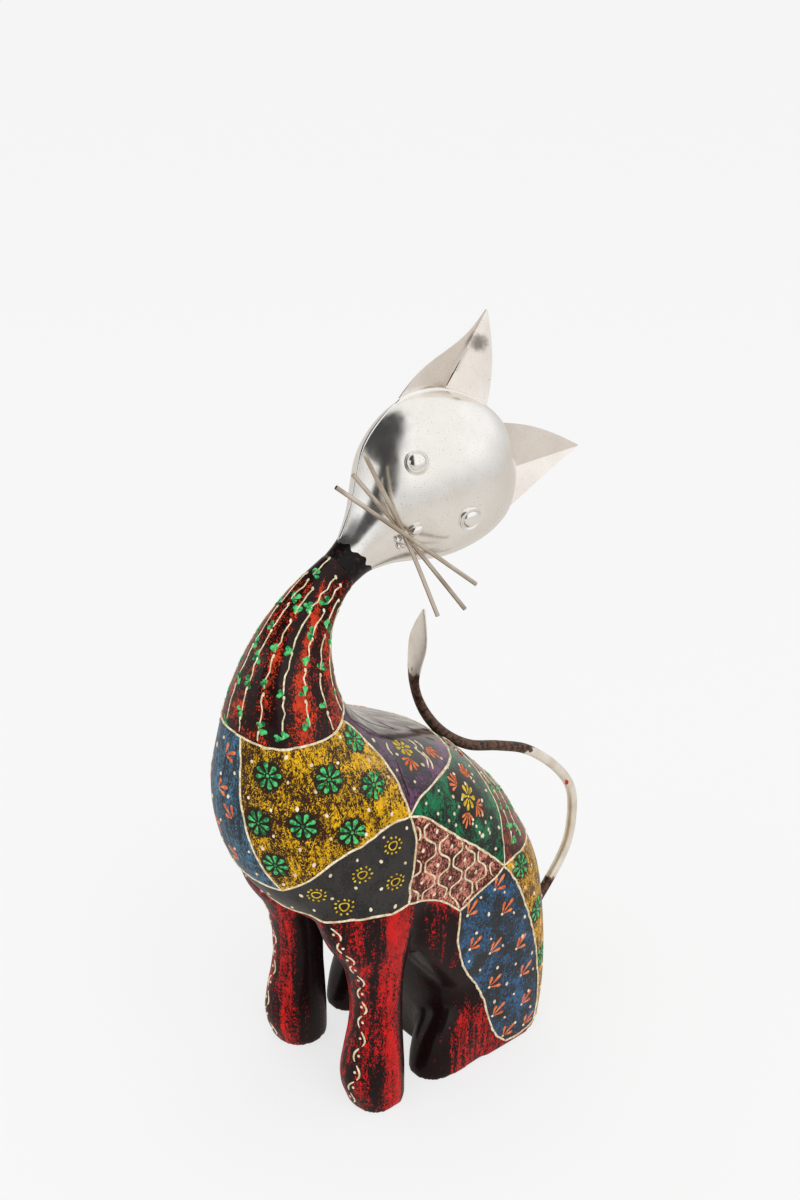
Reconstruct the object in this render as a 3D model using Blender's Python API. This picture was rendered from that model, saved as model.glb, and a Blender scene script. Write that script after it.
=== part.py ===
"""A sitting cat ornament: a carved and painted wooden body, and a nickel-plated head and tail.

The cat faces -Y and sits on z = 0. Its body is mirrored in the plane x = 0. The neck leans back,
and the sheet-metal head on it is turned to look over the cat's left side (+X).
Tables of stations are in millimetres and degrees; MM turns them into Blender's metres.
"""
from math import copysign, cos, pi, radians, sin, sqrt

import bmesh
import bpy
from mathutils import Matrix, Vector

MM = 0.001
ACROSS = Vector((1, 0, 0))
GAP = 0.3 * MM                      # clearance kept between neighbouring pieces
SETBACK = 39.2 * MM                 # from the point under the front of the belly to the origin,
                                    # which is under the middle of the whole cat

# Body: each limb is a loft of rounded sections, given as
# (centre y, centre z, half width, half depth, lean, power), with y counted from SETBACK.
# Lean is how far a level section is tipped backwards; at 90 it stands upright. Power is that of
# the superellipse: 2 is an oval, and more keeps the corners of the block.
TRUNK = (                           # belly, chest, neck, collar
    (24, 86, 32, 38, 0, 2.2),
    (25, 100, 43, 60, 0, 2.3),
    (14, 120, 48, 68, 0, 2.25),
    (0, 143, 49, 64, 0, 2.2),
    (-13, 166, 46, 53, 0, 2.2),
    (-29.5, 188, 35.5, 33, 4, 2.1),
    (-35.5, 207, 26, 24.3, 8, 2),
    (-32.4, 227, 18.6, 18.2, 20, 2),
    (-23.6, 244, 12.8, 12.6, 40, 2),
    (-9.4, 256.8, 9.2, 9.3, 56, 2),
    (3.5, 263.2, 8.5, 8.4, 61, 2),
)
SEAT = (                            # rump and both haunches, from the ground up
    (57, -6, 44.5, 32, 0, 3.4),
    (58, 14, 46.5, 35, 0, 3.2),
    (56, 38, 47.5, 39, 0, 3),
    (53, 64, 48, 42, 0, 2.7),
    (49, 90, 47.5, 43.5, 0, 2.5),
    (42, 112, 45, 42.3, 0, 2.3),
    (32.2, 132, 42, 37.6, 0, 2.2),
    (23, 147, 36, 32, 0, 2.2),
)
THIGH_X = 31                        # one thigh, from the haunch forward to the knee
THIGH = (
    (60, 76, 17, 38, 90, 2.4),
    (37, 75, 17, 39, 90, 2.4),
    (27, 78, 17, 35.5, 90, 2.4),
    (18, 85, 16.5, 29.5, 90, 2.4),
    (10, 90, 16, 23, 90, 2.3),
    (3, 94, 14.5, 15, 90, 2.2),
)
HIND_X = 32                         # one hind foot, from the heel to the toe
HIND_FOOT = (
    (60, 22, 13.2, 28, 90, 3),
    (36, 17, 13.4, 28, 90, 2.8),
    (27, 14, 13.4, 26, 90, 2.6),
    (20, 9, 12.6, 23, 90, 2.5),
    (14.5, 4, 10.2, 18, 90, 2.4),
    (10.5, -2, 7, 13, 90, 2.3),
    (8.5, -5, 3.5, 9, 90, 2.2),
)
FRONT_X = 29.5                      # one front leg, from the shoulder to the sole
FRONT_LEG = (
    (-3, 138, 11, 34, 0, 2),
    (-10, 117, 15, 33, 0, 2),
    (-14, 98, 15.5, 25, 0, 2),
    (-13, 76, 13.2, 14, 0, 2.2),
    (-12.4, 48, 12.3, 11.8, 0, 2.2),
    (-15, 18, 14, 15.5, 0, 2.2),
    (-13, 0, 13.5, 13, 0, 2.2),
    (-12, -8, 12, 11, 0, 2.2),
)
SECTION_SIDES = 32
SECTION_STEPS = 5                   # blended sections for each one given
VOXEL = 2.2 * MM                    # grain at which the limbs are fused
ROUNDING = 14                       # smoothing passes over the fused limbs
BODY_SHARE = 0.105                  # share of the fused mesh's triangles that is kept
GROUND_CUT = 400 * MM               # edge of the cube that cuts the soles flat
COLLAR_CUT = 40 * MM                # and of the one that cuts the top of the wooden neck

# Head: its own frame stands on the collar, +Z along the skull to the crown, -Y out of the face.
COLLAR = Vector((0, 1, 261)) * MM
HEAD_LEAN = radians(61)             # from upright, backwards
HEAD_TURN = radians(20)             # how far the face looks up from the cat's left side
HEAD = (                            # height along the skull, half width, half depth, middle x
    (-7, 8.2, 8.2, -1.0),
    (0, 9.1, 9, -1.3),
    (6, 11.4, 10.8, -1.6),
    (14, 15.8, 14.2, -1.8),
    (23, 22.7, 18.7, -2),
    (31, 28.6, 22.5, -1.9),
    (39, 32.2, 25, -1.6),
    (50, 34.7, 27, -1),
    (60, 34.7, 27, -0.4),
    (68, 32.4, 25, -0.1),
    (77, 26.5, 20.5, 0),
    (84, 18, 14.5, 0),
    (88.5, 9.5, 8, 0),
    (90.5, 1, 1, 0),
)
HEAD_SIDES = 24
HEAD_STEPS = 2

EAR_SHEET = 1.0 * MM
EARS = {                            # outer corner, fold, inner corner and tip: (x, height)
    "left": ((33, 58), (22, 79.5), (-0.5, 86.5), (38, 116)),
    "right": ((-36.5, 60), (-22, 79.5), (-3, 86), (-38, 117.5)),
}
EAR_FOLD = 6.5 * MM                 # how far the fold lies behind the two edges
EAR_BOW = 2.2 * MM                  # how far the inner edge bows outwards
EAR_STEPS = 8

EYES = {"left": (14.9, 43.9), "right": (-18.8, 40.4)}     # (x, height) on the face
EYE_RING = (5.2 * MM, 1.0 * MM)     # outer radius, height
EYE_DOME = (3.4 * MM, 2.6 * MM)
NOSE = (2.5, 23)                    # (x, height) on the face
NOSE_HALF = Vector((1.9, 3.6, 1.8)) * MM        # half its width, length and height off the face

WHISKER_RADIUS = 0.95 * MM
WHISKER_DEPTH = 17.7 * MM           # from the skull's axis out to the nearest wire
WHISKER_STACK = 2.3 * MM            # each wire lies this far in front of the last
WHISKERS = {                        # one end, the middle and the other end, each (x, height)
    "level": ((-33.1, 16.6), (2.7, 18.6), (44.6, 19.6)),
    "falling": ((-36.2, 24.9), (1.7, 17.2), (36.7, 7.4)),
    "rising": ((-35.9, 6.1), (0.9, 17.4), (38.1, 28.6)),
}

# Tail: (centre y, centre z, half width across the cat, half thickness), all in the plane x = 0.
TAIL = (
    (80, 16, 2.5, 2.5),
    (98, 18, 2.5, 2.5),
    (112, 25, 2.5, 2.5),
    (125.5, 38, 2.5, 2.5),
    (138.5, 56, 2.5, 2.5),
    (142, 74.5, 2.5, 2.5),
    (139.5, 92, 2.5, 2.5),
    (127.3, 109.4, 2.5, 2.5),
    (107.6, 126.6, 2.5, 2.5),
    (88, 136.5, 2.5, 2.5),
    (69, 144.5, 2.5, 2.5),
    (52.8, 157.2, 2.5, 2.5),
    (40.8, 173.5, 2.6, 2.3),
    (34.8, 191, 3.3, 1.4),
    (36.8, 208, 6, 0.9),
    (38.6, 217, 4.2, 0.8),
    (40.5, 225, 0.6, 0.6),
)
TAIL_SIDES = 10
TAIL_STEPS = 2


def material(name, colour, metallic, roughness):
    made = bpy.data.materials.new(name)
    made.use_nodes = True
    shader = made.node_tree.nodes["Principled BSDF"]
    shader.inputs["Base Color"].default_value = (*colour, 1)
    shader.inputs["Metallic"].default_value = metallic
    shader.inputs["Roughness"].default_value = roughness
    made.diffuse_color = (*colour, 1)
    return made


def empty(name, matrix, parent=None):
    made = bpy.data.objects.new(name, None)
    made.parent = parent
    made.matrix_local = matrix
    bpy.context.collection.objects.link(made)
    return made


def face_out(bm):
    if bm.calc_volume(signed=True) < 0:
        bmesh.ops.reverse_faces(bm, faces=bm.faces)


def place(name, bm, surface, parent):
    """An object of its own from BM, facing outwards and shaded smooth except at sharp edges."""
    face_out(bm)
    mesh = bpy.data.meshes.new(name)
    bm.to_mesh(mesh)
    bm.free()
    mesh.shade_smooth()
    mesh.set_sharp_from_angle(angle=radians(40))
    mesh.materials.append(surface)
    made = bpy.data.objects.new(name, mesh)
    made.parent = parent
    bpy.context.collection.objects.link(made)
    return made


def cut(made, name, cutter):
    """Takes the space of CUTTER out of MADE."""
    cutter.hide_render = True
    cutter.display_type = "WIRE"
    step = made.modifiers.new(name, "BOOLEAN")
    step.operation = "DIFFERENCE"
    step.object = cutter


def smooth_between(stations, steps):
    """Stations blended by a Catmull-Rom curve, with STEPS of them for each one given."""
    rows = [Vector(station) for station in stations]
    rows = [2 * rows[0] - rows[1]] + rows + [2 * rows[-1] - rows[-2]]
    blended = []
    for before, start, end, after in zip(rows, rows[1:], rows[2:], rows[3:]):
        for step in range(steps):
            t = step / steps
            blended.append(0.5 * (2 * start + (end - before) * t
                                  + (2 * before - 5 * start + 4 * end - after) * t ** 2
                                  + (3 * start - before - 3 * end + after) * t ** 3))
    blended.append(rows[-2])
    return blended


def oval(centre, across, along, half_width, half_depth, sides, power=2.0):
    """A ring of points on a superellipse: an ellipse at POWER 2, boxier above it."""
    def spread(value):
        return copysign(abs(value) ** (2 / power), value)

    turns = [2 * pi * side / sides for side in range(sides)]
    return [centre + across * half_width * spread(cos(turn)) + along * half_depth * spread(sin(turn))
            for turn in turns]


def skin(bm, rings):
    """A closed tube over RINGS, each a list of the same number of points."""
    rings = [[bm.verts.new(point) for point in ring] for ring in rings]
    for low, high in zip(rings, rings[1:]):
        for side in range(len(low)):
            near = (side + 1) % len(low)
            bm.faces.new((low[side], low[near], high[near], high[side]))
    bm.faces.new(rings[0][::-1])
    bm.faces.new(rings[-1])


def limb(bm, stations, x=0):
    """Adds one limb of the body to BM, X millimetres from the middle plane."""
    rings = []
    for y, z, half_width, half_depth, lean, power in smooth_between(stations, SECTION_STEPS):
        along = Vector((0, cos(radians(lean)), -sin(radians(lean))))
        rings.append(oval(Vector((x, y, z)) * MM, ACROSS, along,
                          half_width * MM, half_depth * MM, SECTION_SIDES, power))
    loft = bmesh.new()
    skin(loft, rings)
    face_out(loft)
    mesh = bpy.data.meshes.new("loft")
    loft.to_mesh(mesh)
    loft.free()
    bm.from_mesh(mesh)
    bpy.data.meshes.remove(mesh)


def cube(name, size, matrix, surface, parent):
    bm = bmesh.new()
    bmesh.ops.create_cube(bm, size=size, matrix=matrix)
    return place(name, bm, surface, parent)


def head_matrix():
    crown = Vector((0, sin(HEAD_LEAN), cos(HEAD_LEAN)))
    upward = Vector((0, -cos(HEAD_LEAN), sin(HEAD_LEAN)))
    face = ACROSS * cos(HEAD_TURN) + upward * sin(HEAD_TURN)
    axes = Matrix((crown.cross(face), -face, crown)).transposed()
    return Matrix.Translation(COLLAR) @ axes.to_4x4()


def body(surface, root):
    """The carved block: its limbs fused and rounded where they meet, and three flats and a socket."""
    bm = bmesh.new()
    limb(bm, TRUNK)
    limb(bm, SEAT)
    for side in (-1, 1):
        limb(bm, THIGH, side * THIGH_X)
        limb(bm, HIND_FOOT, side * HIND_X)
        limb(bm, FRONT_LEG, side * FRONT_X)
    made = place("body", bm, surface, root)
    fuse = made.modifiers.new("fuse", "REMESH")
    fuse.mode = "VOXEL"
    fuse.voxel_size = VOXEL
    fuse.use_smooth_shade = True
    rounding = made.modifiers.new("rounding", "SMOOTH")
    rounding.factor = 0.5
    rounding.iterations = ROUNDING
    facets = made.modifiers.new("facets", "DECIMATE")
    facets.ratio = BODY_SHARE
    facets.use_symmetry = True
    below = Matrix.Translation((0, 0, -GROUND_CUT / 2))
    cut(made, "soles", cube("ground_space", GROUND_CUT, below, surface, root))
    above = head_matrix() @ Matrix.Translation((0, 0, HEAD[0][0] * MM - GAP + COLLAR_CUT / 2))
    cut(made, "collar", cube("head_space", COLLAR_CUT, above, surface, root))
    cut(made, "socket", tail("tail_space", surface, root, GAP))


def skull(name, surface, frame, swell=0):
    """The teardrop of the head, its surface moved out by SWELL."""
    bm = bmesh.new()
    rings = []
    for height, half_width, half_depth, middle in smooth_between(HEAD, HEAD_STEPS):
        lift = swell if height == HEAD[-1][0] else 0
        rings.append(oval(Vector((middle * MM, 0, height * MM + lift)), ACROSS, Vector((0, 1, 0)),
                          half_width * MM + swell, half_depth * MM + swell, HEAD_SIDES))
    skin(bm, rings)
    return place(name, bm, surface, frame)


def face_point(x, height):
    """The spot on the face that is X millimetres from the skull's axis, at HEIGHT along it."""
    rows = smooth_between(HEAD, HEAD_STEPS)
    low, high = next(pair for pair in zip(rows, rows[1:]) if pair[1][0] >= height)
    share = (height - low[0]) / (high[0] - low[0])
    _, half_width, half_depth, middle = low.lerp(high, share)
    return Vector((x, -half_depth * sqrt(1 - ((x - middle) / half_width) ** 2), height)) * MM


def face_seat(x, height):
    """A frame just off the face at (X, HEIGHT), +Y towards the crown and +Z out of the metal."""
    spot = face_point(x, height)
    along_x = (face_point(x + 0.5, height) - spot).normalized()
    along_z = (face_point(x, height + 0.5) - spot).normalized()
    out = along_x.cross(along_z).normalized()
    axes = Matrix((along_x, out.cross(along_x), out)).transposed()
    return Matrix.Translation(spot + out * GAP) @ axes.to_4x4()


def eye(name, spot, surface, frame):
    """A raised ring with a domed rivet in it."""
    ring_radius, ring_height = EYE_RING
    dome_radius, dome_height = EYE_DOME
    floor = 0.6 * ring_height
    step = 0.5 * MM
    profile = [(ring_radius, 0), (ring_radius, floor), (ring_radius - step, ring_height),
               (dome_radius + step, ring_height), (dome_radius, floor)]
    for turn in (22.5, 45, 67.5):
        profile.append((dome_radius * cos(radians(turn)),
                        floor + (dome_height - floor) * sin(radians(turn))))
    bm = bmesh.new()
    skin(bm, [oval(Vector((0, 0, height)), ACROSS, Vector((0, 1, 0)), radius, radius, 16)
              for radius, height in profile])
    bm.transform(face_seat(*spot))
    return place(name, bm, surface, frame)


def nose(surface, frame):
    """A small lozenge bead set lengthways on the muzzle."""
    bm = bmesh.new()
    bmesh.ops.create_uvsphere(bm, u_segments=8, v_segments=6, radius=1)
    bm.transform(Matrix.Diagonal((*NOSE_HALF, 1)))
    bm.transform(face_seat(*NOSE) @ Matrix.Translation((0, 0, NOSE_HALF.z)))
    return place("nose", bm, surface, frame)


def ear(name, corners, side, surface, frame, skull_space):
    """A folded sheet: two panels that meet in a valley running from the root to the tip."""
    *root, tip = [Vector((x * MM, depth, height * MM))
                  for (x, height), depth in zip(corners, (0, EAR_FOLD, 0, 0))]
    bow = Vector((-side * EAR_BOW, 0, EAR_BOW))
    rings = []
    for step in range(EAR_STEPS + 1):
        share = 0.98 * step / EAR_STEPS
        front = [corner.lerp(tip, share) for corner in root]
        front[-1] += bow * sin(pi * share)
        back = [corner + Vector((0, EAR_SHEET, 0)) for corner in front]
        rings.append(front + back[::-1])
    bm = bmesh.new()
    skin(bm, rings)
    cut(place(name, bm, surface, frame), "seat", skull_space)


def sweep(path, half_widths, half_depths, across, sides):
    """A bar along PATH with its width across ACROSS."""
    rings = []
    last = len(path) - 1
    for index, centre in enumerate(path):
        run = path[min(index + 1, last)] - path[max(index - 1, 0)]
        rings.append(oval(centre, across, run.cross(across).normalized(),
                          half_widths[index], half_depths[index], sides))
    bm = bmesh.new()
    skin(bm, rings)
    return bm


def whisker(name, spots, depth, surface, frame):
    """One wire that crosses the muzzle under the nose, slightly bent where it is held."""
    path = [Vector((x * MM, -depth, height * MM)) for x, height in spots]
    radii = [WHISKER_RADIUS] * len(path)
    place(name, sweep(path, radii, radii, Vector((0, 1, 0)), 8), surface, frame)


def tail(name, surface, root, swell=0):
    """A round rod that swings out behind and over the back, hammered flat to a leaf at its tip."""
    rows = smooth_between(TAIL, TAIL_STEPS)
    path = [Vector((0, y, z)) * MM for y, z, _, _ in rows]
    path[0] -= (path[1] - path[0]).normalized() * swell
    half_widths = [row[2] * MM + swell for row in rows]
    half_depths = [row[3] * MM + swell for row in rows]
    return place(name, sweep(path, half_widths, half_depths, ACROSS, TAIL_SIDES), surface, root)


def build():
    for old in list(bpy.data.objects):
        bpy.data.objects.remove(old, do_unlink=True)
    wood = material("painted_wood", (0.12, 0.05, 0.03), 0.0, 0.35)
    plate = material("nickel_plate", (0.72, 0.68, 0.63), 1.0, 0.22)
    wire = material("wire", (0.55, 0.50, 0.45), 1.0, 0.35)
    rod = material("rod", (0.45, 0.38, 0.30), 1.0, 0.40)
    root = empty("cat", Matrix.Translation((0, -SETBACK, 0)))
    frame = empty("head_frame", head_matrix(), root)
    body(wood, root)
    skull("head", plate, frame)
    skull_space = skull("skull_space", plate, frame, GAP)
    for side_name, side in (("left", 1), ("right", -1)):
        ear("ear_" + side_name, EARS[side_name], side, plate, frame, skull_space)
        eye("eye_" + side_name, EYES[side_name], plate, frame)
    nose(plate, frame)
    for layer, (direction, spots) in enumerate(WHISKERS.items()):
        whisker("whisker_" + direction, spots, WHISKER_DEPTH + layer * WHISKER_STACK, wire, frame)
    tail("tail", rod, root)


build()
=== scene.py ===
"""Looks of the sitting cat: a patchwork-painted wooden body, and a plated metal head and tail.

Tables are in millimetres, in the same frame as the CAD source: x to the cat's left, y backwards
from the point under the front of the belly, z up. SETBACK is from there to the row's origin.
"""
import random
from math import atan2, cos, degrees, pi, radians, sin, sqrt

import bmesh
import bpy
import numpy as np
from mathutils import Matrix, Vector, noise
from mathutils.bvhtree import BVHTree
from mathutils.kdtree import KDTree


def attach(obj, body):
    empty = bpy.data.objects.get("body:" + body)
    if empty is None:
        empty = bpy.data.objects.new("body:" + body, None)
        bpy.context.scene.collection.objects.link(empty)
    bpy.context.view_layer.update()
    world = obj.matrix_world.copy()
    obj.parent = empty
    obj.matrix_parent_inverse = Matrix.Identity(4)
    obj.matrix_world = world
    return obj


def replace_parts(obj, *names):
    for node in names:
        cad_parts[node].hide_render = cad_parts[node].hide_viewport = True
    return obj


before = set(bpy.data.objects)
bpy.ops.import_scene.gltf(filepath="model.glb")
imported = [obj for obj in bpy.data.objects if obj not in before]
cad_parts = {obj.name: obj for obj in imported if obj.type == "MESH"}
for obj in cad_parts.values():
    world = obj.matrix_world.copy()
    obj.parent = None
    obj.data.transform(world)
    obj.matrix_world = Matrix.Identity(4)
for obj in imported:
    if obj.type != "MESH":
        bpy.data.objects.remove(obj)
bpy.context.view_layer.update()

SCENE = bpy.context.scene
MM = 0.001
SETBACK = 39.2
ACROSS = Vector((1, 0, 0))
BACKWARD = Vector((0, 1, 0))
UP = Vector((0, 0, 1))
dice = random.Random(7)
vary = dice.uniform

# --- small helpers


def at(x, y, z):
    """A point of the tables, in metres in the row frame."""
    return Vector((x, y - SETBACK, z)) * MM


def placed(spots):
    return [at(*spot) for spot in spots]


def mirrored(spots):
    return [(-x, y, z) for x, y, z in spots]


def on_both_sides(lines):
    """Each line of a table, followed by its mirror image."""
    return [side for line in lines for side in (line, mirrored(line))]


def smooth_between(stations, steps):
    """Stations blended by a Catmull-Rom curve, with STEPS of them for each one given."""
    rows = [Vector(station) for station in stations]
    rows = [2 * rows[0] - rows[1]] + rows + [2 * rows[-1] - rows[-2]]
    blended = []
    for before, start, end, after in zip(rows, rows[1:], rows[2:], rows[3:]):
        for step in range(steps):
            t = step / steps
            blended.append(0.5 * (2 * start + (end - before) * t
                                  + (2 * before - 5 * start + 4 * end - after) * t ** 2
                                  + (3 * start - before - 3 * end + after) * t ** 3))
    blended.append(rows[-2])
    return blended


def evenly(path, gap):
    """The same line with a point about every GAP."""
    even = [path[0]]
    spare = 0.0
    for start, end in zip(path, path[1:]):
        length = (end - start).length
        along = gap - spare
        while along < length:
            even.append(start.lerp(end, along / length))
            along += gap
        spare = length - (along - gap)
    if (even[-1] - path[-1]).length > 0.3 * gap:
        even.append(path[-1])
    return even


def turned(start, end, angle):
    """The direction ANGLE degrees round from START towards END."""
    return start * cos(radians(angle)) + end * sin(radians(angle))


def heading(path, index):
    """The way a line runs at one of its points."""
    return path[min(index + 1, len(path) - 1)] - path[max(index - 1, 0)]


def gathered(items, key, width, kind=float):
    """One property of many items as an array, with a row for each."""
    values = np.empty(len(items) * width, kind)
    items.foreach_get(key, values)
    return values.reshape(-1, width)


def tree_of(points):
    tree = KDTree(len(points))
    for index, point in enumerate(points):
        tree.insert(point, index)
    tree.balance()
    return tree


def in_scene(name, data):
    made = bpy.data.objects.new(name, data)
    SCENE.collection.objects.link(made)
    return made


def new_object(name, mesh, surface):
    made = in_scene(name, mesh)
    mesh.materials.clear()
    mesh.materials.append(surface)
    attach(made, "root")
    return made


def from_bmesh(name, bm, surface, sharp=40):
    """A piece of the model from BM. Its edges stay sharp from SHARP degrees on."""
    if bm.calc_volume(signed=True) < 0:
        bmesh.ops.reverse_faces(bm, faces=bm.faces)
    mesh = bpy.data.meshes.new(name)
    bm.to_mesh(mesh)
    bm.free()
    mesh.shade_smooth()
    mesh.set_sharp_from_angle(angle=radians(sharp))
    return new_object(name, mesh, surface)


def oval(centre, across, along, wide, deep, sides):
    """A ring of points. WIDE and DEEP are half its sizes, in mm."""
    turns = [2 * pi * side / sides for side in range(sides)]
    wide *= MM
    deep *= MM
    return [centre + across * wide * cos(turn) + along * deep * sin(turn)
            for turn in turns]


def skin(bm, rings, capped=True):
    """Faces from each ring of points to the next. Gives back the rings' vertices."""
    rings = [[bm.verts.new(point) for point in ring] for ring in rings]
    for low, high in zip(rings, rings[1:]):
        for side in range(len(low)):
            near = (side + 1) % len(low)
            bm.faces.new((low[side], low[near], high[near], high[side]))
    if capped:
        bm.faces.new(rings[0][::-1])
        bm.faces.new(rings[-1])
    return rings


def sweep(bm, path, sizes, across, sides):
    """A bar along PATH. SIZES are half its width, along ACROSS, and half its depth, in mm."""
    skin(bm, [oval(centre, across, heading(path, index).cross(across).normalized(), *size, sides)
              for index, (centre, size) in enumerate(zip(path, sizes))])


# --- materials

MIX_FIRST, MIX_SECOND, MIX_RESULT = 6, 7, 2  # the colour sockets of a mix node


class Nodes:
    """Builds the nodes of one material, or of the world, with few words."""

    def __init__(self, owner, shader="Principled BSDF", place="Object"):
        owner.use_nodes = True
        self.material = owner
        self.tree = owner.node_tree
        self.shader = self.tree.nodes[shader]
        self.place = self.add("ShaderNodeTexCoord").outputs[place]

    def add(self, kind, **settings):
        node = self.tree.nodes.new(kind)
        for key, value in settings.items():
            setattr(node, key, value)
        return node

    def link(self, value, socket):
        if isinstance(value, bpy.types.NodeSocket):
            self.tree.links.new(value, socket)
        else:
            socket.default_value = value

    def fill(self, node, **inputs):
        """Sets or links the inputs that are named, with _ for a space."""
        for key, value in inputs.items():
            self.link(value, node.inputs[key.replace("_", " ")])

    def set(self, **inputs):
        self.fill(self.shader, **inputs)

    def noise(self, scale, detail=3.0, roughness=0.55, stretch=(1, 1, 1), distortion=0.0):
        """Noise with SCALE features to the metre, drawn out along the axes by STRETCH."""
        spot = self.add("ShaderNodeMapping")
        self.fill(spot, Vector=self.place, Scale=[1 / value for value in stretch])
        node = self.add("ShaderNodeTexNoise")
        self.fill(node, Vector=spot.outputs["Vector"], Scale=scale, Detail=detail,
                  Roughness=roughness, Distortion=distortion)
        return node.outputs["Fac"]

    def math(self, operation, first, second):
        node = self.add("ShaderNodeMath", operation=operation)
        self.link(first, node.inputs[0])
        self.link(second, node.inputs[1])
        return node.outputs["Value"]

    def plus(self, first, second):
        return self.math("ADD", first, second)

    def times(self, first, second):
        return self.math("MULTIPLY", first, second)

    def split(self, vector):
        node = self.add("ShaderNodeSeparateXYZ")
        self.link(vector, node.inputs["Vector"])
        return node.outputs

    def ramp(self, value, low, high, to_low=0.0, to_high=1.0, kind="SMOOTHSTEP"):
        node = self.add("ShaderNodeMapRange", interpolation_type=kind)
        self.fill(node, Value=value, From_Min=low, From_Max=high, To_Min=to_low, To_Max=to_high)
        return node.outputs["Result"]

    def mix(self, share, first, second):
        node = self.add("ShaderNodeMix", data_type="RGBA")
        self.link(share, node.inputs["Factor"])
        self.link(first, node.inputs[MIX_FIRST])
        self.link(second, node.inputs[MIX_SECOND])
        return node.outputs[MIX_RESULT]

    def attribute(self, name):
        node = self.add("ShaderNodeAttribute", attribute_name=name)
        return node.outputs["Color"], node.outputs["Alpha"]

    def bump(self, height, strength, distance):
        node = self.add("ShaderNodeBump")
        self.fill(node, Height=height, Strength=strength, Distance=distance)
        self.set(Normal=node.outputs["Normal"])


def material(name):
    return Nodes(bpy.data.materials.new(name))


def rgb(red, green, blue):
    """A colour given as it looks on a screen, 0 to 255, for a shader."""
    return tuple((value / 255 / 12.92 if value < 10.3 else ((value / 255 + 0.055) / 1.055) ** 2.4)
                 for value in (red, green, blue)) + (1.0,)


WORN_BY_GRAIN = 0.62  # share of the fine grain in where the paint is rubbed through
UPPER_NECK = (0.225, 0.25)  # m: between these heights the lacquer thins out


def painted_wood():
    """Paint rubbed over a dark coat, as the two colour attributes say, under lacquer."""
    n = material("painted_wood")
    paint, cover = n.attribute("paint")
    ground, streak = n.attribute("ground")
    cloudy = n.noise(110, 2, 0.5, distortion=0.3)
    streaky = n.noise(330, 3, 0.6, stretch=(1, 1, 20))
    coarse = n.plus(n.times(cloudy, n.math("SUBTRACT", 1.0, streak)), n.times(streaky, streak))
    grain = n.noise(1050, 3, 0.72, stretch=(1, 1, 1.7), distortion=1.2)
    worn = n.plus(n.times(coarse, 1 - WORN_BY_GRAIN), n.times(grain, WORN_BY_GRAIN))
    edge = n.ramp(cover, 0.0, 1.0, 0.64, 0.36, "LINEAR")
    shows = n.ramp(worn, n.plus(edge, -0.02), n.plus(edge, 0.025))
    tone = n.ramp(n.noise(260, 3, 0.6, stretch=(1, 1, 2)), 0.3, 0.7, 0.6, 1.0)
    facing = n.split(n.add("ShaderNodeNewGeometry").outputs["Normal"])["Z"]
    lacquer = n.times(n.ramp(facing, 0.1, 0.9, 0.14, 1.0),
                      n.ramp(n.split(n.place)["Z"], *UPPER_NECK, 1.0, 0.3))
    colour = n.mix(shows, ground, n.mix(tone, ground, paint))
    n.set(Base_Color=colour, Roughness=n.ramp(grain, 0.3, 0.7, 0.32, 0.5), Specular_IOR_Level=0.08,
          Coat_Weight=lacquer, Coat_Roughness=0.14)
    n.bump(n.plus(n.times(shows, 0.4), n.times(coarse, 0.9)), 0.3, 0.0004)
    return n.material


def line_paint(name, bright, dull, scale=500):
    """Thick hand-drawn paint, a little uneven in colour."""
    n = material(name)
    patchy = n.ramp(n.noise(scale, 3, 0.6), 0.38, 0.62)
    n.set(Base_Color=n.mix(patchy, rgb(*dull), rgb(*bright)), Roughness=0.42, Specular_IOR_Level=0.2)
    n.bump(n.noise(1400, 2), 0.3, 0.0002)
    return n.material


def plated(name, bright, dull, roughness, speckle, smudge=None):
    """Warm nickel plate with faint clouding, a few fine pits and, at SMUDGE, a burnt spot."""
    n = material(name)
    cloud = n.ramp(n.noise(45, 3, 0.55), 0.35, 0.65)
    pits = n.ramp(n.noise(1500, 2, 0.7), 0.64, 0.72, 0.0, speckle)
    base = n.mix(cloud, rgb(*dull), rgb(*bright))
    if smudge:
        far = n.add("ShaderNodeVectorMath", operation="DISTANCE")
        n.link(n.place, far.inputs[0])
        n.link(smudge, far.inputs[1])
        ragged = n.times(n.noise(350, 2), 0.004)
        darkened = n.ramp(n.plus(far.outputs["Value"], ragged), 0.003, 0.0075, 0.75, 0.0)
        base = n.mix(darkened, base, rgb(84, 72, 64))
    n.set(Base_Color=n.mix(pits, base, rgb(70, 66, 64)), Metallic=1.0,
          Roughness=n.ramp(n.noise(160, 4, 0.6), 0.3, 0.7, roughness * 0.8, roughness * 1.25))
    n.bump(n.noise(38, 2, 0.5), 0.08, 0.002)
    return n.material


# --- the body and its patches

FINE = 1.3 * MM  # grain of the painted body
FAIRING = 26  # fairing passes, each followed by one that undoes the shrinking
FAIRED, UNDONE = 0.5, -0.53  # how far such passes move a spot to where its neighbours are
BARRIER = 1.0  # mm: paint doesn't run this close to a border when it is poured


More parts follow.
